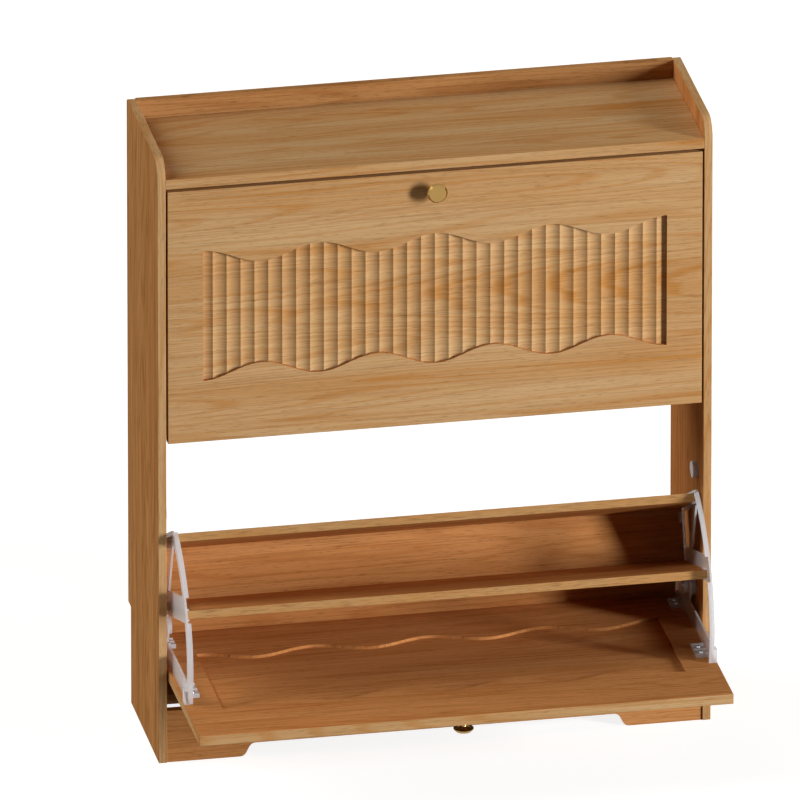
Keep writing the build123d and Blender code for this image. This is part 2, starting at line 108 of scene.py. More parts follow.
def linear(hex_colour):
    """An sRGB hex colour as linear red, green and blue."""
    parts = [int(hex_colour[i:i + 2], 16) / 255 for i in (1, 3, 5)]
    return tuple(c / 12.92 if c <= 0.04045 else ((c + 0.055) / 1.055) ** 2.4 for c in parts)


def shut_to_rest(level):
    """Carries a piece that is built on the shut upper drawer to where that drawer rests."""
    upper = Vector(JOINTS["upper_drawer"]["pos_m"])
    if level == "upper":
        return Matrix.Identity(4)
    lower = Vector(JOINTS["lower_drawer"]["pos_m"])
    turn = Matrix.Rotation(OPEN_ANGLE, 4, "X")
    return Matrix.Translation(lower) @ turn @ Matrix.Translation(-upper)


# Sizes and colours a user would change

def size_property(name, description, default):
    return bpy.props.FloatProperty(
        name=name, description=description, default=default, min=0.0, unit="LENGTH", precision=4)


def colour_property(name, description, default):
    return bpy.props.FloatVectorProperty(
        name=name, description=description, default=linear(default),
        min=0.0, max=1.0, size=3, subtype="COLOR")


class CabinetSizes(bpy.types.PropertyGroup):
    flute_pitch: size_property("Flute pitch", "Width of one flute of the fluted panels", 0.020)
    flute_depth: size_property(
        "Flute depth", "How deep a flute is hollowed below its ridges", 0.0024)
    wave_height: size_property("Wave height", "Crest to trough of the panel's wavy edges", 0.022)
    wave_count: bpy.props.IntProperty(
        name="Waves", description="Whole waves along each wavy edge", default=4, min=1)
    board_softness: size_property(
        "Board edge", "Rounding on the edges of the drawer boards", 0.0003)
    screw_head_radius: size_property(
        "Screw head radius", "Radius of a bracket screw's head", 0.0036)
    screw_head_height: size_property(
        "Screw head height", "Height of a bracket screw's head", 0.0022)
    screw_shank_radius: size_property("Screw shank radius", "Radius of a screw's shank", 0.00175)


class CabinetColours(bpy.types.PropertyGroup):
    pale_light: colour_property(
        "Pale foil, light", "Pale early wood of the doors and the top", "#C9A476")
    pale_warm: colour_property("Pale foil, warm", "Warm bands of the doors and the top", "#BA8247")
    pale_dark: colour_property(
        "Pale foil, dark", "Late wood lines of the doors and the top", "#7E5228")
    # The warm tones are a darker, redder copy of the pale foil: on the outer faces of the sides they are painted
    # shade, and the rails take them as a darker tone.
    warm_light: colour_property(
        "Warm foil, light", "Pale early wood of the other boards", "#C08E5A")
    warm_warm: colour_property("Warm foil, warm", "Warm bands of the other boards", "#A66E3D")
    warm_dark: colour_property("Warm foil, dark", "Late wood lines of the other boards", "#4A2810")
    # The inside tones are a redder copy of the pale foil: painted shade and painted reddish light thrown between
    # the boards, on the inner faces, drawer boards and plinth.
    inside_light: colour_property(
        "Inside foil, light", "Pale early wood of the inner faces", "#CE925A")
    inside_warm: colour_property("Inside foil, warm", "Warm bands of the inner faces", "#B87842")
    inside_dark: colour_property(
        "Inside foil, dark", "Late wood lines of the inner faces", "#522A10")
    edge_pale: colour_property(
        "Raw edge, pale", "Pale ground of the drawer boards' edges", "#BE9A6C")
    edge_fleck: colour_property(
        "Raw edge, flecks", "Short dark flecks of the drawer boards' edges", "#6A4220")
    plastic: colour_property("Plastic", "Moulded brackets, seats and buttons", "#E6E6EA")
    brass: colour_property("Brass", "Turned brass of the knobs", "#A8874F")
    zinc: colour_property("Zinc", "Zinc plated steel of screws, pins and cams", "#B9BCC0")
    beech: colour_property("Beech", "Bare wood of the dowels", "#C79A6B")


# Materials

def add(tree, kind, inputs=None, **settings):
    """Adds a node with its settings; an input that is a socket is linked, any other is set."""
    made = tree.nodes.new(kind)
    for name, value in settings.items():
        setattr(made, name, value)
    for name, value in (inputs or {}).items():
        socket = made.inputs[name]
        if isinstance(value, bpy.types.NodeSocket):
            tree.links.new(value, socket)
        else:
            socket.default_value = value
    return made


def seen_plainly(tree):
    """One for rays that show a surface as it is: from the camera, by gloss or through a piece."""
    path = add(tree, "ShaderNodeLightPath")
    seen = add(tree, "ShaderNodeMath", {
        0: path.outputs["Is Camera Ray"], 1: path.outputs["Is Glossy Ray"]}, operation="MAXIMUM")
    either = add(tree, "ShaderNodeMath", {
        0: seen.outputs[0], 1: path.outputs["Is Transmission Ray"]}, operation="MAXIMUM")
    return either.outputs[0]


def empty_material(name):
    material = bpy.data.materials.get(name)
    if material:
        return material, None
    material = bpy.data.materials.new(name)
    material.use_nodes = True
    material.node_tree.nodes.clear()
    return material, material.node_tree


def rgba(colour):
    return (*colour, 1.0)


def grain_scale(axis, flat, length_mm, width_mm):
    """Pattern repeats per metre: long along the grain, narrow across it and even through a foil."""
    across = 1 / (width_mm * MILLIMETRE)
    scale = [across] * 3
    scale["XYZ".index(axis)] = 1 / (length_mm * MILLIMETRE)
    if flat:
        # A foil is thin: through it the pattern changes ten times more slowly
        scale["XYZ".index(flat)] = across / 10
    return tuple(scale)


def oak_foil(name, axis, flat, tone, seed, coarse=1):
    """Printed oak foil on particle board, matt: late-wood lines, warm bands, fibres and pores."""
    material, tree = empty_material(name)
    if tree is None:
        return material
    tones = bpy.context.scene.cabinet_colours
    # Pale is the foil as lit; the warm and inside tones are darker, redder copies that paint shade on the sides
    # and the inner faces and darken the rails.
    light, warm, deep = (
        rgba(getattr(tones, f"{tone}_{part}")) for part in ("light", "warm", "dark"))
    place = add(tree, "ShaderNodeTexCoord").outputs["Object"]
    # Fibres: streaks about 2 mm wide and a hand's width long
    fibre_map = add(tree, "ShaderNodeMapping", {
        "Vector": place, "Location": (seed * 2.1, seed, seed),
        "Scale": grain_scale(axis, flat, FIBRE_LENGTH, FIBRE_WIDTH * coarse)})
    fibres = add(tree, "ShaderNodeTexNoise", {
        "Vector": fibre_map.outputs[0], "Scale": 1.0, "Detail": 3.0, "Roughness": 0.62})
    # Growth rings seen as nested loops: level lines of a slow noise, shaken by the fibres
    figure_map = add(tree, "ShaderNodeMapping", {
        "Vector": place, "Location": (seed, seed * 1.7, seed * 0.6),
        "Scale": grain_scale(axis, flat, FIGURE_LENGTH, FIGURE_WIDTH)})
    figure = add(tree, "ShaderNodeTexNoise", {
        "Vector": figure_map.outputs[0], "Scale": 1.0, "Detail": 2.0, "Roughness": 0.45})
    turns = add(tree, "ShaderNodeMath", {
        0: figure.outputs["Fac"], 1: 2 * pi * RINGS}, operation="MULTIPLY")
    shake = add(tree, "ShaderNodeMath", {
        0: fibres.outputs["Fac"], 1: RING_SHAKE}, operation="MULTIPLY")
    shaken = add(tree, "ShaderNodeMath", {
        0: turns.outputs[0], 1: shake.outputs[0]}, operation="ADD")
    rings = add(tree, "ShaderNodeMath", {0: shaken.outputs[0]}, operation="SINE")
    late_wood = add(tree, "ShaderNodeMapRange", {
        "Value": rings.outputs[0], "From Min": 0.25, "From Max": 1.0, "To Max": 0.42})
    # Warm and pale bands, an arm long and two fingers wide
    band_map = add(tree, "ShaderNodeMapping", {
        "Vector": place, "Location": (seed * 0.3, seed * 1.3, seed),
        "Scale": grain_scale(axis, flat, BAND_LENGTH, BAND_WIDTH)})
    bands = add(tree, "ShaderNodeTexNoise", {
        "Vector": band_map.outputs[0], "Scale": 1.0, "Detail": 2.0, "Roughness": 0.5})
    warmth = add(tree, "ShaderNodeMapRange", {
        "Value": bands.outputs["Fac"], "From Min": 0.35, "From Max": 0.68, "To Max": 0.6})
    warm_share = add(tree, "ShaderNodeMath", {
        0: late_wood.outputs[0], 1: warmth.outputs[0]}, operation="ADD", use_clamp=True)
    ground = add(tree, "ShaderNodeMix", {
        "Factor": warm_share.outputs[0], "A": light, "B": warm}, data_type="RGBA")
    # Pores: dark dashes, drawn over a millimetre wide so that they show
    pore_map = add(tree, "ShaderNodeMapping", {
        "Vector": place, "Location": (seed, seed, seed),
        "Scale": grain_scale(axis, flat, PORE_LENGTH * coarse, PORE_WIDTH * coarse)})
    pores = add(tree, "ShaderNodeTexNoise", {
        "Vector": pore_map.outputs[0], "Scale": 1.0, "Detail": 1.0, "Roughness": 0.5})
    dashes = add(tree, "ShaderNodeMapRange", {
        "Value": pores.outputs["Fac"], "From Min": 0.58, "From Max": 0.76, "To Max": 0.36})
    streaks = add(tree, "ShaderNodeMapRange", {
        "Value": fibres.outputs["Fac"], "From Min": 0.46, "From Max": 0.72, "To Max": 0.34})
    dark = add(tree, "ShaderNodeMath", {
        0: streaks.outputs[0], 1: dashes.outputs[0]}, operation="ADD", use_clamp=True)
    colour = add(tree, "ShaderNodeMix", {
        "Factor": dark.outputs[0], "A": ground.outputs["Result"], "B": deep}, data_type="RGBA")
    rough = add(tree, "ShaderNodeMapRange", {
        "Value": fibres.outputs["Fac"], "From Min": 0.2, "From Max": 0.8,
        "To Min": 0.7, "To Max": 0.9})
    relief = add(tree, "ShaderNodeBump", {
        "Strength": 0.25, "Distance": 0.1 * MILLIMETRE, "Height": dark.outputs[0]}, invert=True)
    shader = add(tree, "ShaderNodeBsdfPrincipled", {
        "Base Color": colour.outputs["Result"], "Roughness": rough.outputs[0],
        "Specular IOR Level": 0.0, "Normal": relief.outputs[0]})
    add(tree, "ShaderNodeOutputMaterial", {"Surface": shader.outputs[0]})
    return material


def raw_edge():
    """Sawn and oiled edge of a drawer board: a paler ground with short dark flecks along it."""
    material, tree = empty_material("oiled_oak_edge")
    if tree is None:
        return material
    tones = bpy.context.scene.cabinet_colours
    place = add(tree, "ShaderNodeTexCoord").outputs["Object"]
    # Flecks, drawn over a millimetre wide so that they show
    fleck_map = add(tree, "ShaderNodeMapping", {
        "Vector": place, "Scale": grain_scale("X", None, FLECK_LENGTH, FLECK_WIDTH)})
    flecks = add(tree, "ShaderNodeTexNoise", {
        "Vector": fleck_map.outputs[0], "Scale": 1.0, "Detail": 2.0, "Roughness": 0.6})
    marks = add(tree, "ShaderNodeMapRange", {
        "Value": flecks.outputs["Fac"], "From Min": 0.48, "From Max": 0.7, "To Max": 0.5})
    tone_map = add(tree, "ShaderNodeMapping", {
        "Vector": place, "Scale": grain_scale("X", None, EDGE_TONE_LENGTH, EDGE_TONE_WIDTH)})
    tone = add(tree, "ShaderNodeTexNoise", {
        "Vector": tone_map.outputs[0], "Scale": 1.0, "Detail": 2.0})
    ground = add(tree, "ShaderNodeMix", {
        "Factor": tone.outputs["Fac"], "A": rgba(tones.edge_pale),
        "B": rgba(tones.pale_warm)}, data_type="RGBA")
    colour = add(tree, "ShaderNodeMix", {
        "Factor": marks.outputs[0], "A": ground.outputs["Result"],
        "B": rgba(tones.edge_fleck)}, data_type="RGBA")
    relief = add(tree, "ShaderNodeBump", {
        "Strength": 0.2, "Distance": 0.1 * MILLIMETRE, "Height": marks.outputs[0]}, invert=True)
    shader = add(tree, "ShaderNodeBsdfPrincipled", {
        "Base Color": colour.outputs["Result"], "Roughness": 0.8, "Specular IOR Level": 0.0,
        "Normal": relief.outputs[0]})
    add(tree, "ShaderNodeOutputMaterial", {"Surface": shader.outputs[0]})
    return material


def mottled(name, colour, depth, grit_mm, roughness, metallic=0.0, clear=0.0):
    """A surface with a fine mottle: its tone and roughness drift over grains of the given size."""
    material, tree = empty_material(name)
    if tree is None:
        return material
    place = add(tree, "ShaderNodeTexCoord").outputs["Object"]
    grit = add(tree, "ShaderNodeTexNoise", {
        "Vector": place, "Scale": 1 / (grit_mm * MILLIMETRE), "Detail": 3.0, "Roughness": 0.55})
    deep = tuple(channel * (1 - depth) for channel in colour)
    tone = add(tree, "ShaderNodeMix", {
        "Factor": grit.outputs["Fac"], "A": rgba(colour), "B": rgba(deep)}, data_type="RGBA")
    rough = add(tree, "ShaderNodeMapRange", {
        "Value": grit.outputs["Fac"], "To Min": roughness * (1 - ROUGHNESS_DRIFT),
        "To Max": roughness * (1 + ROUGHNESS_DRIFT)})
    relief = add(tree, "ShaderNodeBump", {
        "Strength": 0.15, "Distance": 0.05 * MILLIMETRE, "Height": grit.outputs["Fac"]})
    shader = add(tree, "ShaderNodeBsdfPrincipled", {
        "Base Color": tone.outputs["Result"], "Roughness": rough.outputs[0], "Metallic": metallic,
        "Alpha": 1 - clear, "Normal": relief.outputs[0]})
    add(tree, "ShaderNodeOutputMaterial", {"Surface": shader.outputs[0]})
    return material


# Grain direction, thin direction, tone and place in the print of each foil
FOILS = {
    "oak_pale_standing": ("X", "Y", "pale", 0.37),
    "oak_pale_lying": ("X", "Z", "pale", 0.83),
    "oak_warm_standing": ("X", "Y", "warm", 1.13),
    # The inside foils are painted shade: a redder copy of the pale foil for faces inside the cabinet and under the
    # open door.
    "oak_inside_standing": ("X", "Y", "inside", 2.57),
    "oak_inside_lying": ("X", "Z", "inside", 2.71),
    "oak_inside_sloping": ("X", None, "inside", 3.11),
    "oak_pale_upright": ("Z", "Y", "pale", 0.71),
    # The sides' outer faces take the warm copy as painted shade.
    "oak_shaded_warm_upright": ("Z", "X", "warm", 1.91, SIDE_COARSENESS),
    "oak_inside_upright": ("Z", "X", "inside", 3.29, SIDE_COARSENESS),
}


def material_named(finish):
    """The finished material for one of the cabinet's finishes."""
    tones = bpy.context.scene.cabinet_colours
    if finish in FOILS:
        return oak_foil(f"{finish}_foil", *FOILS[finish])
    if finish == "raw_edge":
        return raw_edge()
    if finish == "plastic":
        # Injection-moulded clear polypropylene: slightly milky, so that the wood behind tints it
        return mottled("clear_polypropylene", tones.plastic, 0.06, 3.0, 0.25, clear=0.4)
    if finish == "brass":
        # Turned and lacquered brass: warm and smooth, with faint drift in its polish
        return mottled("lacquered_brass", tones.brass, 0.12, 5.0, 0.2, metallic=1.0)
    if finish == "zinc":
        # Zinc plated steel: grey and slightly cloudy
        return mottled("zinc_plated_steel", tones.zinc, 0.15, 2.0, 0.36, metallic=1.0)
    if finish == "beech":
        # Bare turned beech: pale pinkish wood with fine flecks
        return mottled("bare_beech", tones.beech, 0.25, 1.5, 0.7)
    raise RuntimeError(f"no finish named {finish}")


SLOTS = {
    **dict.fromkeys((*FOILS, "raw_edge"), "oak_board"),
    "plastic": "white_plastic",
    "brass": "brass",
    "zinc": "zinc_steel",
    "beech": "beech",
}


# Pieces

def body_of_node(node):
    for body, members in frame["record"]["behaviour"]["bodies"].items():
        if node in members:
            return body
    raise RuntimeError(f"no body holds {node}")


def paint_node(node, finish):
    """Gives a CAD node that keeps its shape its finished material."""
    mesh = frame["nodes"][node].data
    mesh.materials.clear()
    mesh.materials.append(material_named(finish))


def place_piece(name, mesh, body, nodes):
    """Makes an object of a finished mesh, in place of CAD nodes on one body."""
    piece = bpy.data.objects.new(name, mesh)
    bpy.context.scene.collection.objects.link(piece)
    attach(piece, body)
    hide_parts(*nodes)
    return piece


def joined_copy(node):
    """A node's faces with their shared corners joined and flat areas made whole."""
    shape = bmesh.new()
    shape.from_mesh(frame["nodes"][node].data)
    bmesh.ops.remove_doubles(shape, verts=shape.verts, dist=JOIN_DISTANCE)
    flat = radians(0.5)
    bmesh.ops.dissolve_limit(shape, angle_limit=flat, verts=shape.verts, edges=shape.edges)
    return shape


def finished_mesh(name, shape, finishes):
    """Turns a shape into a mesh with smooth curves, sharp creases and flat broad faces."""
    shape.normal_update()
    for face in shape.faces:
        face.smooth = face.calc_area() < BROAD_FACE
    for edge in shape.edges:
        edge.smooth = edge.is_manifold and edge.calc_face_angle() < CREASE
    mesh = bpy.data.meshes.new(name)
    shape.to_mesh(mesh)
    shape.free()
    for finish in finishes:
        mesh.materials.append(material_named(finish))
    return mesh


def smooth_piece(node, finish):
    """A CAD node shown with smooth curves in place of its facets."""
    mesh = finished_mesh(f"{node}_smooth", joined_copy(node), [finish])
    return place_piece(f"{node}_smooth", mesh, body_of_node(node), [node])


def faced_piece(node, outlook, finishes, softness=0.0):
    """A board with finishes for its face to the outlook, its opposite face and its edges."""
    shape = joined_copy(node)
    if softness > 0:
        bmesh.ops.bevel(
            shape, geom=list(shape.edges), offset=softness, segments=2, profile=0.5, affect="EDGES")
    shape.normal_update()
    for face in shape.faces:
        slant = face.normal.dot(outlook)
        face.material_index = 0 if slant > FACING else 1 if slant < -FACING else 2
    mesh = finished_mesh(f"{node}_faced", shape, finishes)
    return place_piece(f"{node}_faced", mesh, body_of_node(node), [node])


def broad_normal(node):
    """The direction that one of a board's two broad faces looks in."""
    shape = joined_copy(node)
    broadest = max(shape.faces, key=lambda face: face.calc_area())
    outlook = broadest.normal.copy()
    shape.free()
    return outlook


def islands(node):
    """The separate solids of a node, each as a list of points."""
    shape = bmesh.new()
    shape.from_mesh(frame["nodes"][node].data)
    bmesh.ops.remove_doubles(shape, verts=shape.verts, dist=JOIN_DISTANCE)
    left = set(shape.verts)
    groups = []
    while left:
        reached = [left.pop()]
        for vert in reached:
            for edge in vert.link_edges:
                other = edge.other_vert(vert)
                if other in left:
                    left.remove(other)
                    reached.append(other)
        groups.append([vert.co.copy() for vert in reached])
    shape.free()
    return groups


# Geometry node trees

def new_tree(name, inputs):
    """A geometry node tree with named inputs; returns it with its input and output nodes."""
    tree = bpy.data.node_groups.new(name, "GeometryNodeTree")
    tree.interface.new_socket("Geometry", in_out="INPUT", socket_type="NodeSocketGeometry")
    for label, kind in inputs.items():
        tree.interface.new_socket(label, in_out="INPUT", socket_type=kind)
    tree.interface.new_socket("Geometry", in_out="OUTPUT", socket_type="NodeSocketGeometry")
    return tree, add(tree, "NodeGroupInput").outputs, add(tree, "NodeGroupOutput")


def grown_mesh(name, tree, base, values):
    """Runs a tree on a base mesh with the given input values and returns the plain result."""
    carrier = bpy.data.objects.new(f"{name}_carrier", base)
    bpy.context.scene.collection.objects.link(carrier)
    modifier = carrier.modifiers.new("grow", "NODES")
    modifier.node_group = tree
    sockets = {s.name: s.identifier for s in tree.interface.items_tree if s.in_out == "INPUT"}
    for label, value in values.items():
        modifier[sockets[label]] = value
    bpy.context.view_layer.update()
    ready = carrier.evaluated_get(bpy.context.evaluated_depsgraph_get())
    mesh = bpy.data.meshes.new_from_object(ready)
    mesh.name = name
    carrier.modifiers.remove(modifier)
    bpy.data.objects.remove(carrier)
    if not mesh.polygons:
        raise RuntimeError(f"{name} came out empty")
    return mesh


def fluted_panel_tree():
    """Hollow flutes in a row on a flat back, cut to a window with mirrored wavy edges."""
    tree, given, result = new_tree("fluted_panel", {
        "Width": "NodeSocketFloat", "Height": "NodeSocketFloat", "Thickness": "NodeSocketFloat",
        "Waves": "NodeSocketInt", "Wave Height": "NodeSocketFloat",
        "Flute Pitch": "NodeSocketFloat", "Flute Depth": "NodeSocketFloat",
        "Columns": "NodeSocketInt", "Spread": "NodeSocketFloat",
        "Material": "NodeSocketMaterial"})
    sheet = add(tree, "GeometryNodeMeshGrid", {
        "Size X": given["Spread"], "Size Y": 1.0, "Vertices X": given["Columns"], "Vertices Y": 2})
    place = add(tree, "ShaderNodeSeparateXYZ", {
        0: add(tree, "GeometryNodeInputPosition").outputs[0]})
    half = add(tree, "ShaderNodeMath", {0: given["Width"], 1: 0.5}, operation="MULTIPLY")
    minus_half = add(tree, "ShaderNodeMath", {0: given["Width"], 1: -0.5}, operation="MULTIPLY")
    across = add(tree, "ShaderNodeClamp", {
        "Value": place.outputs["X"], "Min": minus_half.outputs[0], "Max": half.outputs[0]})
    # Half the window's height at each column
    share = add(tree, "ShaderNodeMath", {
        0: across.outputs[0], 1: given["Width"]}, operation="DIVIDE")
    shifted = add(tree, "ShaderNodeMath", {0: share.outputs[0], 1: 0.5}, operation="ADD")
    turns = add(tree, "ShaderNodeMath", {
        0: shifted.outputs[0], 1: given["Waves"]}, operation="MULTIPLY")
    angle = add(tree, "ShaderNodeMath", {0: turns.outputs[0], 1: 2 * pi}, operation="MULTIPLY")
    swing = add(tree, "ShaderNodeMath", {0: angle.outputs[0]}, operation="COSINE")
    dip = add(tree, "ShaderNodeMath", {0: swing.outputs[0], 1: -1.0}, operation="ADD")
    drop = add(tree, "ShaderNodeMath", {
        0: dip.outputs[0], 1: given["Wave Height"]}, operation="MULTIPLY")
    height = add(tree, "ShaderNodeMath", {0: given["Height"], 1: drop.outputs[0]}, operation="ADD")
    level = add(tree, "ShaderNodeMath", {
        0: height.outputs[0], 1: place.outputs["Y"]}, operation="MULTIPLY")
    back = add(tree, "ShaderNodeCombineXYZ", {
        "X": across.outputs[0], "Y": given["Thickness"], "Z": level.outputs[0]})
    rear = add(tree, "GeometryNodeSetPosition", {
        "Geometry": sheet.outputs["Mesh"], "Position": back.outputs[0]})
    # Each flute is a shallow arc: its radius follows from its half width and its depth
    half_flute = add(tree, "ShaderNodeMath", {
        0: given["Flute Pitch"], 1: 0.5}, operation="MULTIPLY")
    half_square = add(tree, "ShaderNodeMath", {0: half_flute.outputs[0], 1: 2.0}, operation="POWER")
    deep_square = add(tree, "ShaderNodeMath", {0: given["Flute Depth"], 1: 2.0}, operation="POWER")
    squares = add(tree, "ShaderNodeMath", {
        0: half_square.outputs[0], 1: deep_square.outputs[0]}, operation="ADD")
    double = add(tree, "ShaderNodeMath", {0: given["Flute Depth"], 1: 2.0}, operation="MULTIPLY")
    radius = add(tree, "ShaderNodeMath", {
        0: squares.outputs[0], 1: double.outputs[0]}, operation="DIVIDE")
    front_place = add(tree, "ShaderNodeSeparateXYZ", {
        0: add(tree, "GeometryNodeInputPosition").outputs[0]})
    lanes = add(tree, "ShaderNodeMath", {
        0: front_place.outputs["X"], 1: given["Flute Pitch"]}, operation="DIVIDE")
    part = add(tree, "ShaderNodeMath", {0: lanes.outputs[0]}, operation="FRACT")
    aside = add(tree, "ShaderNodeMath", {0: part.outputs[0], 1: 0.5}, operation="SUBTRACT")
    offset = add(tree, "ShaderNodeMath", {
        0: aside.outputs[0], 1: given["Flute Pitch"]}, operation="MULTIPLY")
    offset_square = add(tree, "ShaderNodeMath", {0: offset.outputs[0], 1: 2.0}, operation="POWER")
    radius_square = add(tree, "ShaderNodeMath", {0: radius.outputs[0], 1: 2.0}, operation="POWER")
    under = add(tree, "ShaderNodeMath", {
        0: radius_square.outputs[0], 1: offset_square.outputs[0]}, operation="SUBTRACT")
    reach = add(tree, "ShaderNodeMath", {0: under.outputs[0]}, operation="SQRT")
    rise = add(tree, "ShaderNodeMath", {
        0: radius.outputs[0], 1: reach.outputs[0]}, operation="SUBTRACT")
    depth = add(tree, "ShaderNodeMath", {
        0: given["Flute Depth"], 1: rise.outputs[0]}, operation="SUBTRACT")
    front = add(tree, "ShaderNodeCombineXYZ", {
        "X": front_place.outputs["X"], "Y": depth.outputs[0], "Z": front_place.outputs["Z"]})
    raised = add(tree, "GeometryNodeExtrudeMesh", {
        "Mesh": rear.outputs[0], "Offset Scale": given["Flute Depth"],
        "Individual": False}, mode="FACES")
    hollowed = add(tree, "GeometryNodeSetPosition", {
        "Geometry": raised.outputs["Mesh"], "Selection": raised.outputs["Top"],
        "Position": front.outputs[0]})
    closing = add(tree, "GeometryNodeFlipFaces", {"Mesh": rear.outputs[0]})
    whole = add(tree, "GeometryNodeJoinGeometry")
    tree.links.new(hollowed.outputs[0], whole.inputs[0])
    tree.links.new(closing.outputs[0], whole.inputs[0])
    welded = add(tree, "GeometryNodeMergeByDistance", {
        "Geometry": whole.outputs[0], "Distance": JOIN_DISTANCE})
    real = add(tree, "GeometryNodeRealizeInstances", {"Geometry": welded.outputs[0]})
    painted = add(tree, "GeometryNodeSetMaterial", {
        "Geometry": real.outputs[0], "Material": given["Material"]})
    tree.links.new(painted.outputs[0], result.inputs[0])
    return tree


def screw_tree():
    """A pan-head screw with a cross recess on each point, turned along the point's axis."""
    tree, given, result = new_tree("pan_head_screw", {
        "Head Radius": "NodeSocketFloat", "Head Height": "NodeSocketFloat",
        "Shank Radius": "NodeSocketFloat", "Shank Length": "NodeSocketFloat",
        "Recess Width": "NodeSocketFloat", "Material": "NodeSocketMaterial"})
    crown = add(tree, "ShaderNodeMath", {
        0: given["Head Radius"], 1: CROWN_SHARE}, operation="MULTIPLY")
    head = add(tree, "GeometryNodeMeshCone", {
        "Vertices": 28, "Radius Top": crown.outputs[0], "Radius Bottom": given["Head Radius"],
        "Depth": given["Head Height"]})
    arm = add(tree, "ShaderNodeMath", {
        0: given["Head Radius"], 1: RECESS_LENGTH_SHARE}, operation="MULTIPLY")
    long_bar = add(tree, "ShaderNodeCombineXYZ", {
        "X": arm.outputs[0], "Y": given["Recess Width"], "Z": given["Head Height"]})
    cross_bar = add(tree, "ShaderNodeCombineXYZ", {
        "X": given["Recess Width"], "Y": arm.outputs[0], "Z": given["Head Height"]})
    lift = add(tree, "ShaderNodeCombineXYZ", {"Z": given["Head Height"]})
    cut = head.outputs["Mesh"]
    for bar in (long_bar, cross_bar):
        cube = add(tree, "GeometryNodeMeshCube", {"Size": bar.outputs[0]})
        raised = add(tree, "GeometryNodeTransform", {
            "Geometry": cube.outputs["Mesh"], "Translation": lift.outputs[0]})
        carved = add(tree, "GeometryNodeMeshBoolean", operation="DIFFERENCE")
        tree.links.new(cut, carved.inputs["Mesh 1"])
        tree.links.new(raised.outputs[0], carved.inputs["Mesh 2"])
        cut = carved.outputs["Mesh"]
    shank = add(tree, "GeometryNodeMeshCylinder", {
        "Vertices": 16, "Radius": given["Shank Radius"], "Depth": given["Shank Length"]})
    half_shank = add(tree, "ShaderNodeMath", {
        0: given["Shank Length"], 1: -0.5}, operation="MULTIPLY")
    sink = add(tree, "ShaderNodeCombineXYZ", {"Z": half_shank.outputs[0]})
    lowered = add(tree, "GeometryNodeTransform", {
        "Geometry": shank.outputs["Mesh"], "Translation": sink.outputs[0]})
    screw = add(tree, "GeometryNodeJoinGeometry")
    tree.links.new(cut, screw.inputs[0])
    tree.links.new(lowered.outputs[0], screw.inputs[0])
    way = add(tree, "GeometryNodeInputNamedAttribute", {"Name": "axis"}, data_type="FLOAT_VECTOR")
    turn = add(tree, "FunctionNodeAlignRotationToVector", {
        "Vector": way.outputs["Attribute"]}, axis="Z")
    many = add(tree, "GeometryNodeInstanceOnPoints", {
        "Points": given["Geometry"], "Instance": screw.outputs[0], "Rotation": turn.outputs[0]})
    real = add(tree, "GeometryNodeRealizeInstances", {"Geometry": many.outputs[0]})
    painted = add(tree, "GeometryNodeSetMaterial", {
        "Geometry": real.outputs[0], "Material": given["Material"]})
    tree.links.new(painted.outputs[0], result.inputs[0])
    return tree


def screw_seats(node, axis):
    """Points under the heads of a node's screws, with the axis that the screws share."""
    head_height = bpy.context.scene.cabinet_sizes.screw_head_height
    side = Vector((1, 0, 0))
    third = axis.cross(side)
    seats = []
    for points in islands(node):
        top = max(point.dot(axis) for point in points)
        seat = axis * (top - head_height)
        for way in (side, third):
            reach = [point.dot(way) for point in points]
            seat += way * (min(reach) + max(reach)) / 2
        seats.append(seat)
    base = bpy.data.meshes.new(f"{node}_seats")
    base.from_pydata([tuple(seat) for seat in seats], [], [])
    axes = base.attributes.new("axis", "FLOAT_VECTOR", "POINT")
    axes.data.foreach_set("vector", [value for _ in seats for value in axis])
    return base


# Operators

class CABINET_OT_carcass(bpy.types.Operator):
    """Oak foil on the sides, top, rails and plinth"""
    bl_idname = "cabinet.carcass"
    bl_label = "Carcass"

    def execute(self, context):
        # The top's underside takes the inside copy of the foil: painted shade under the top.
        faced_piece("top_panel", UP, ("oak_pale_lying", "oak_inside_lying", "oak_pale_standing"))
        for node in ("rear_gallery_rail", "rear_base_rail"):
            paint_node(node, "oak_warm_standing")
        # The plinth under the open lower door takes the inside copy of the foil: painted warm bounce light from
        # the door above it.
        smooth_piece("front_plinth", "oak_inside_standing")
        # The sides' inner faces take the inside copy and their outer faces the warm copy of the foil, both painted
        # shade.
        finishes = ("oak_inside_upright", "oak_shaded_warm_upright", "oak_pale_upright")
        for side, inward in (("left", 1), ("right", -1)):
            faced_piece(f"{side}_side_panel", Vector((inward, 0, 0)), finishes)
        return {"FINISHED"}


class CABINET_OT_doors(bpy.types.Operator):
    """Doors, paler on the front than on the inside, where a redder copy of the foil paints the shade"""
    bl_idname = "cabinet.doors"
    bl_label = "Doors"

    def execute(self, context):
        for level, rest in REST.items():
            front = shut_to_rest(level).to_3x3() @ FRONT
            edges = f"oak_pale_{ACROSS[rest]}"
            # The inner face takes the inside copy of the foil: painted shade inside the drawer.
            finishes = (f"oak_pale_{rest}", f"oak_inside_{rest}", edges)
            door = faced_piece(f"{level}_door", front, finishes)
            # The walls of the window take the inside copy too: painted shade in the window's recess
            low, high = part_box(f"{level}_fluted_panel")
            margin = Vector((1, 1, 1)) * 3 * MILLIMETRE
            for face in door.data.polygons:
                spot = zip(low - margin, face.center, high + margin)
                inside = all(least < value < most for least, value, most in spot)
                if face.material_index == 2 and inside:
                    face.material_index = 1
        return {"FINISHED"}


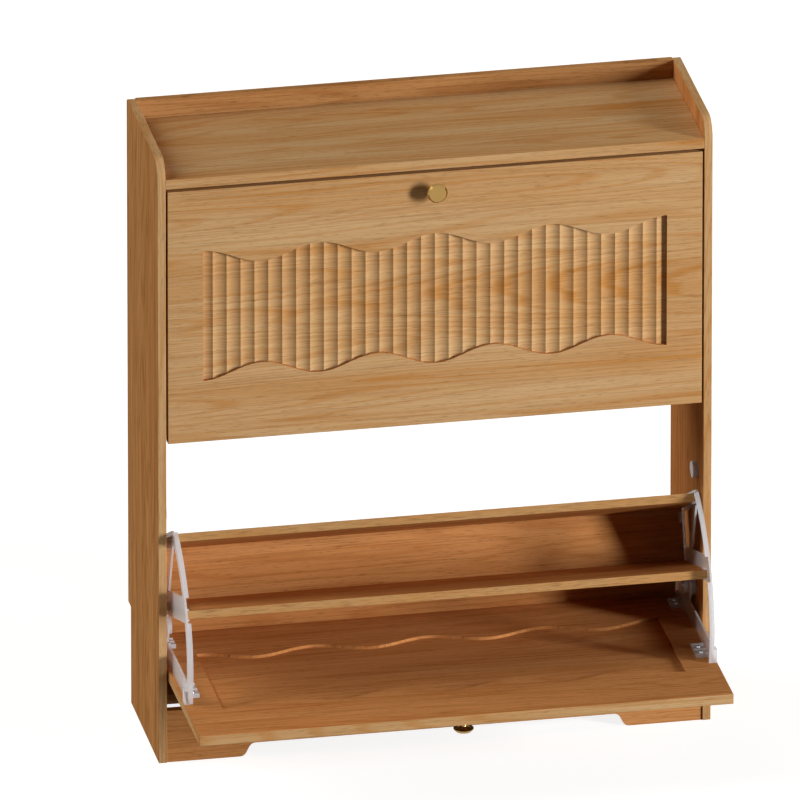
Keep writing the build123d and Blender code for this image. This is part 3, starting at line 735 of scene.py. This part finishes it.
class CABINET_OT_fluted_panels(bpy.types.Operator):
    """Fluted panels set into the doors' wavy windows"""
    bl_idname = "cabinet.fluted_panels"
    bl_label = "Fluted panels"

    def execute(self, context):
        sizes = context.scene.cabinet_sizes
        low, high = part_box("upper_fluted_panel")
        width = high.x - low.x
        # Flutes run past both ends of the window, where the tree cuts them off
        flutes = 2 * int(width / sizes.flute_pitch / 2 + 1)
        segments = 10
        tree = fluted_panel_tree()
        values = {
            "Width": width, "Height": high.z - low.z, "Thickness": high.y - low.y,
            "Waves": sizes.wave_count, "Wave Height": sizes.wave_height,
            "Flute Pitch": sizes.flute_pitch, "Flute Depth": sizes.flute_depth,
            "Columns": flutes * segments + 1, "Spread": flutes * sizes.flute_pitch,
        }
        middle = (low + high) / 2
        for level, rest in REST.items():
            finish = f"oak_pale_{rest}"
            values["Material"] = material_named(finish)
            name = f"{level}_flutes"
            shape = bmesh.new()
            base = bpy.data.meshes.new(f"{name}_base")
            shape.from_mesh(grown_mesh(f"{name}_grown", tree, base, values))
            shape.transform(shut_to_rest(level) @ Matrix.Translation((middle.x, low.y, middle.z)))
            shape.normal_update()
            # The flat back shows inside an open door, in the inside copy of the foil: painted shade
            front = shut_to_rest(level).to_3x3() @ FRONT
            for face in shape.faces:
                face.material_index = int(face.normal.dot(front) < -FACING)
            mesh = finished_mesh(name, shape, (finish, f"oak_inside_{rest}"))
            place_piece(name, mesh, f"{level}_drawer", [f"{level}_fluted_panel"])
        return {"FINISHED"}


class CABINET_OT_drawer_boards(bpy.types.Operator):
    """Divider, floors and rear wall of both drawers, with raw edges"""
    bl_idname = "cabinet.drawer_boards"
    bl_label = "Drawer boards"

    def execute(self, context):
        softness = context.scene.cabinet_sizes.board_softness
        # The boards' faces take the inside copy of the foil: painted reddish shade inside the drawers.
        finishes = ("oak_inside_sloping", "oak_inside_sloping", "raw_edge")
        for level in LEVELS:
            for board in ("divider", "rear_floor", "rear_wall", "front_floor"):
                node = f"{level}_{board}"
                faced_piece(node, broad_normal(node), finishes, softness)
        return {"FINISHED"}


class CABINET_OT_brackets(bpy.types.Operator):
    """Fan brackets, pivot seats and stop buttons in moulded plastic"""
    bl_idname = "cabinet.brackets"
    bl_label = "Brackets"

    def execute(self, context):
        for level in LEVELS:
            for side in SIDES:
                for piece in ("bracket", "pivot_seat", "stop_button"):
                    smooth_piece(f"{level}_{side}_{piece}", "plastic")
        return {"FINISHED"}


class CABINET_OT_knobs(bpy.types.Operator):
    """Turned brass knobs"""
    bl_idname = "cabinet.knobs"
    bl_label = "Knobs"

    def execute(self, context):
        for level in LEVELS:
            smooth_piece(f"{level}_knob", "brass")
        return {"FINISHED"}


class CABINET_OT_fasteners(bpy.types.Operator):
    """Bracket screws, studs, pins, cams and dowels"""
    bl_idname = "cabinet.fasteners"
    bl_label = "Fasteners"

    def execute(self, context):
        sizes = context.scene.cabinet_sizes
        tree = screw_tree()
        low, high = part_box("upper_bracket_screws")
        values = {
            "Head Radius": sizes.screw_head_radius, "Head Height": sizes.screw_head_height,
            "Shank Radius": sizes.screw_shank_radius,
            "Shank Length": high.y - low.y - sizes.screw_head_height,
            "Recess Width": sizes.screw_head_radius * RECESS_WIDTH_SHARE,
            "Material": material_named("zinc"),
        }
        for level in LEVELS:
            node = f"{level}_bracket_screws"
            axis = shut_to_rest(level).to_3x3() @ -FRONT
            mesh = grown_mesh(f"{node}_heads", tree, screw_seats(node, axis), values)
            place_piece(f"{node}_heads", mesh, f"{level}_drawer", [node])
            paint_node(f"{level}_knob_stud", "zinc")
            for side in SIDES:
                paint_node(f"{level}_{side}_pivot_pin", "zinc")
        for node in ("cam_bolts", "cam_locks", "seat_screws"):
            paint_node(node, "zinc")
        paint_node("dowels", "beech")
        return {"FINISHED"}


class CABINET_OT_stage(bpy.types.Operator):
    """Pale floor, studio light and camera"""
    bl_idname = "cabinet.stage"
    bl_label = "Stage"

    def execute(self, context):
        scene = context.scene
        scene.view_settings.view_transform = "Standard"
        self.floor(scene)
        self.light(scene)
        self.camera(scene)
        return {"FINISHED"}

    def floor(self, scene):
        mesh = bpy.data.meshes.new("studio_floor")
        signs = ((-1, -1), (1, -1), (1, 1), (-1, 1))
        corners = [(x * FLOOR_REACH, y * FLOOR_REACH, 0) for x, y in signs]
        mesh.from_pydata(corners, [], [(0, 1, 2, 3)])
        # White paper floor: it keeps a soft shadow and reads as white to the camera
        material, tree = empty_material("white_paper_floor")
        lift = add(tree, "ShaderNodeMath", {
            0: seen_plainly(tree), 1: FLOOR_GLOW}, operation="MULTIPLY")
        glow = add(tree, "ShaderNodeEmission", {"Strength": lift.outputs[0]})
        paper = add(tree, "ShaderNodeBsdfDiffuse", {"Color": rgba([FLOOR_GREY] * 3)})
        both = add(tree, "ShaderNodeAddShader", {0: glow.outputs[0], 1: paper.outputs[0]})
        add(tree, "ShaderNodeOutputMaterial", {"Surface": both.outputs[0]})
        mesh.materials.append(material)
        floor = bpy.data.objects.new("studio_floor", mesh)
        scene.collection.objects.link(floor)

    def light(self, scene):
        world = bpy.data.worlds.new("studio")
        world.use_nodes = True
        tree = world.node_tree
        tree.nodes.clear()
        seen = seen_plainly(tree)
        strength = add(tree, "ShaderNodeMapRange", {
            "Value": seen, "To Min": AMBIENT_LEVEL, "To Max": 1.0})
        # White where it is seen; the little light it sheds is warm, as if thrown back by wood
        warm, white = (1.0, 0.8, 0.62, 1.0), (1.0, 1.0, 1.0, 1.0)
        tint = add(tree, "ShaderNodeMix", {"Factor": seen, "A": warm, "B": white}, data_type="RGBA")
        sky = add(tree, "ShaderNodeBackground", {
            "Color": tint.outputs["Result"], "Strength": strength.outputs[0]})
        add(tree, "ShaderNodeOutputWorld", {"Surface": sky.outputs[0]})
        scene.world = world
        self.softbox(scene, "tall_key", energy=4.25, towards=self.aim(azimuth=55, elevation=9.5))
        self.sun(scene, "fill", energy=2.2, spread=50, towards=self.aim(azimuth=-106, elevation=38))

    def aim(self, azimuth, elevation):
        """Direction towards a lamp or the camera: degrees to the right of the front, and up."""
        side, up = radians(azimuth), radians(elevation)
        return Vector((sin(side) * cos(up), -cos(side) * cos(up), sin(up)))

    def hang(self, scene, name, data, towards):
        """Hangs a lamp far off in a direction, turned to the middle of the cabinet."""
        lamp = bpy.data.objects.new(name, data)
        lamp.rotation_euler = towards.to_track_quat("Z", "Y").to_euler()
        lamp.location = LAMP_TARGET + towards * LAMP_DISTANCE
        scene.collection.objects.link(lamp)

    def sun(self, scene, name, energy, spread, towards):
        """A wide and even lamp, a shade warmer than white, like light from a pale wall."""
        data = bpy.data.lights.new(name, "SUN")
        data.color = linear("#FFF7ED")
        data.energy = energy
        data.angle = radians(spread)
        self.hang(scene, name, data, towards)

    def softbox(self, scene, name, energy, towards):
        """A tall, narrow lamp: crisp shadows from upright edges, soft ones from level edges."""
        data = bpy.data.lights.new(name, "AREA")
        data.shape = "RECTANGLE"
        data.size = 1.6
        data.size_y = 5.0
        data.energy = energy * pi * LAMP_DISTANCE ** 2
        self.hang(scene, name, data, towards)

    def camera(self, scene):
        # A long lens far away: the picture has almost no perspective
        lens = bpy.data.cameras.new("photo_camera")
        lens.sensor_width = 36.0
        lens.lens = 1600.0
        lens.clip_end = 200.0
        frame_width = 1.1344
        back = self.aim(azimuth=-11, elevation=23.7)
        target = Vector((-0.0450, 0.0307, 0.5215))
        camera = bpy.data.objects.new("photo_camera", lens)
        camera.location = target + back * (frame_width * lens.lens / lens.sensor_width)
        camera.rotation_euler = back.to_track_quat("Z", "Y").to_euler()
        scene.collection.objects.link(camera)
        scene.camera = camera


class CABINET_PT_panel(bpy.types.Panel):
    """Lists the cabinet's pieces"""
    bl_idname = "CABINET_PT_panel"
    bl_label = "Shoe cabinet"
    bl_space_type = "VIEW_3D"
    bl_region_type = "UI"
    bl_category = "Shoe cabinet"

    def draw(self, context):
        for group in (context.scene.cabinet_sizes, context.scene.cabinet_colours):
            for name in group.bl_rna.properties.keys():
                if name not in ("rna_type", "name"):
                    self.layout.prop(group, name)
        for operator in OPERATORS:
            self.layout.operator(operator.bl_idname)


OPERATORS = (
    CABINET_OT_carcass,
    CABINET_OT_doors,
    CABINET_OT_fluted_panels,
    CABINET_OT_drawer_boards,
    CABINET_OT_brackets,
    CABINET_OT_knobs,
    CABINET_OT_fasteners,
    CABINET_OT_stage,
)
CLASSES = (CabinetSizes, CabinetColours, *OPERATORS, CABINET_PT_panel)


def register():
    for made in CLASSES:
        bpy.utils.register_class(made)
    bpy.types.Scene.cabinet_sizes = bpy.props.PointerProperty(type=CabinetSizes)
    bpy.types.Scene.cabinet_colours = bpy.props.PointerProperty(type=CabinetColours)


def unregister():
    del bpy.types.Scene.cabinet_colours
    del bpy.types.Scene.cabinet_sizes
    for made in reversed(CLASSES):
        bpy.utils.unregister_class(made)


def main():
    register()
    for operator in OPERATORS:
        group, name = operator.bl_idname.split(".")
        getattr(getattr(bpy.ops, group), name)()


if __name__ == "__main__":
    main()
